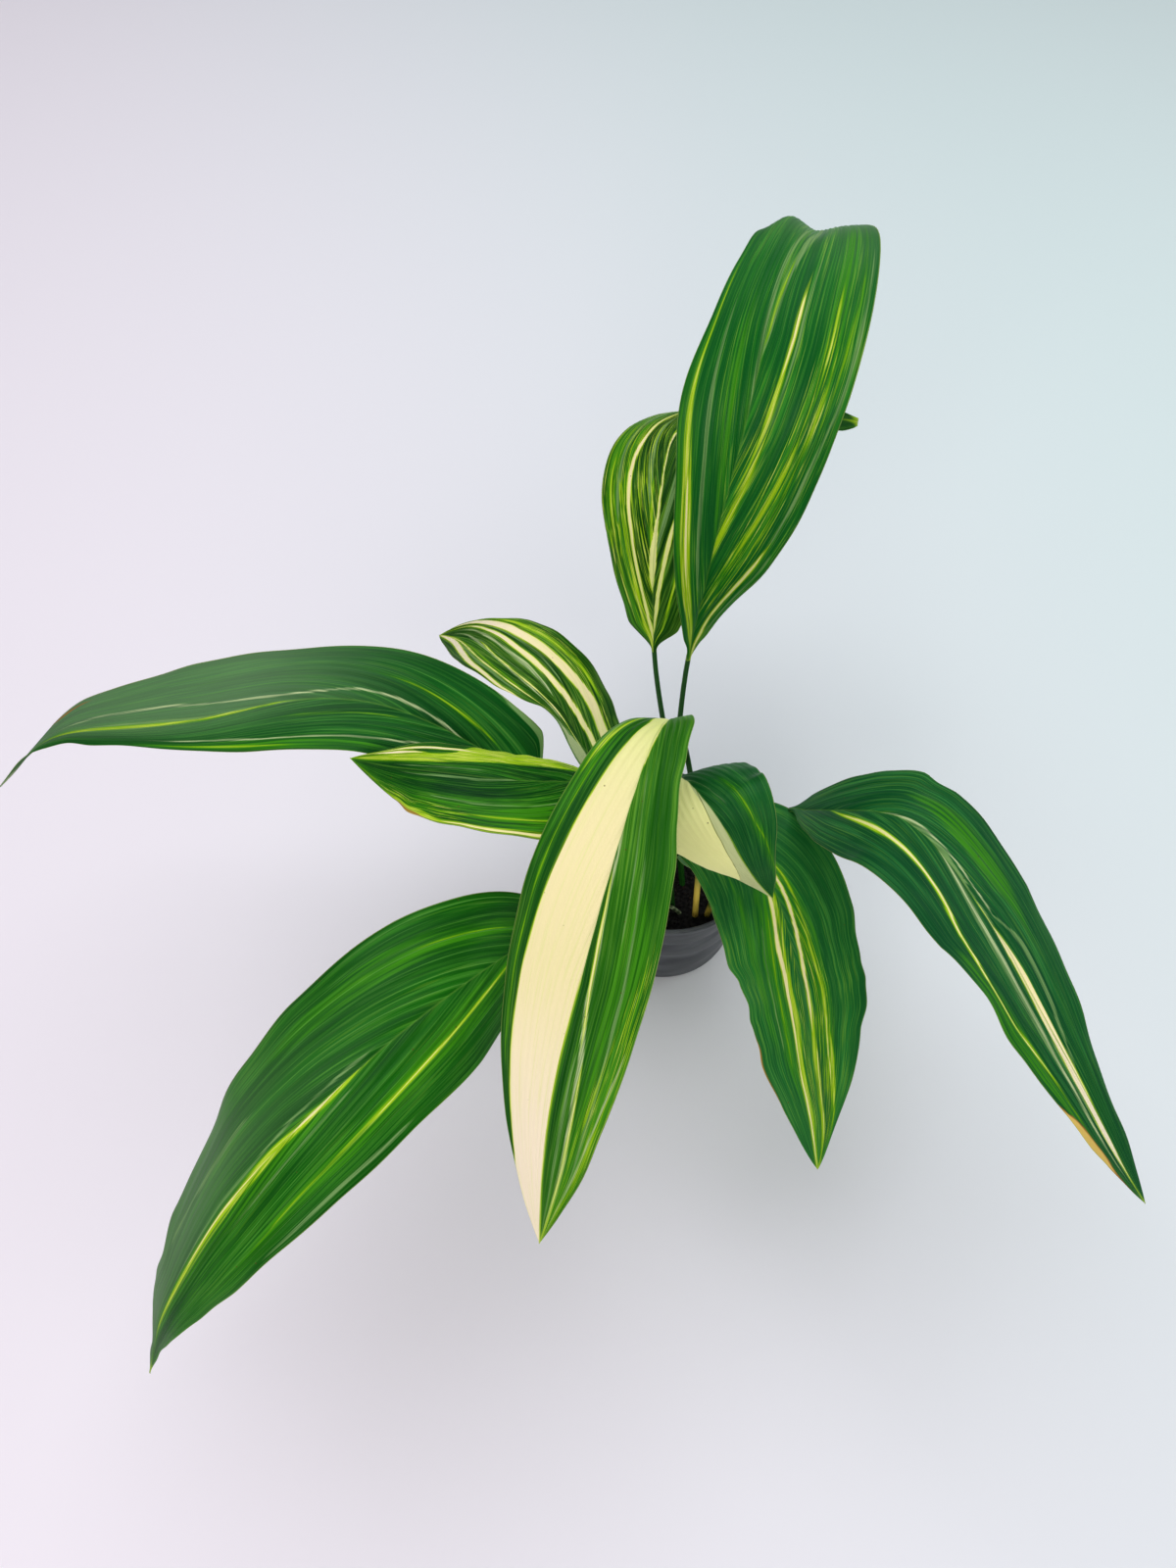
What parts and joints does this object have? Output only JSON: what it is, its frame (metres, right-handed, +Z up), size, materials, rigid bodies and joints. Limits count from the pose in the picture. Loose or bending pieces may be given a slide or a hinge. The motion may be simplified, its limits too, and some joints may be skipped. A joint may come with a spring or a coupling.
{
  "type": "potted cast iron plant",
  "caption": "Potted cast iron plant: broad pointed leaves with cream and lime stripes on thin stalks, growing from soil in a small round dark plastic nursery pot.",
  "frame": {"origin": "centre of the pot's flat base, on the surface it stands on", "axes": "+Z up, -Y towards the front view, +X to the right of the front view"},
  "size_m": [0.7933, 0.6585, 0.5823],
  "materials": {
    "pot": "soft moulded polyethylene with faint folds",
    "soil": "moist potting compost with bark pieces",
    "leaf": "leathery leaf, dark green with cream and lime stripes, semi-gloss",
    "dry_stalk": "dry cut leaf stalk"
  },
  "bodies": {
    "root": {"pot": "pot", "soil": "soil", "leaf_back_tall": "leaf", "leaf_back_arched": "leaf", "leaf_left_banded": "leaf", "leaf_left_long": "leaf", "leaf_left_short": "leaf", "leaf_front_broad": "leaf", "leaf_front_cream": "leaf", "leaf_right_small": "leaf", "leaf_front_right": "leaf", "leaf_right_long": "leaf", "old_stalk_stub": "dry_stalk"}
  },
  "joints": []
}
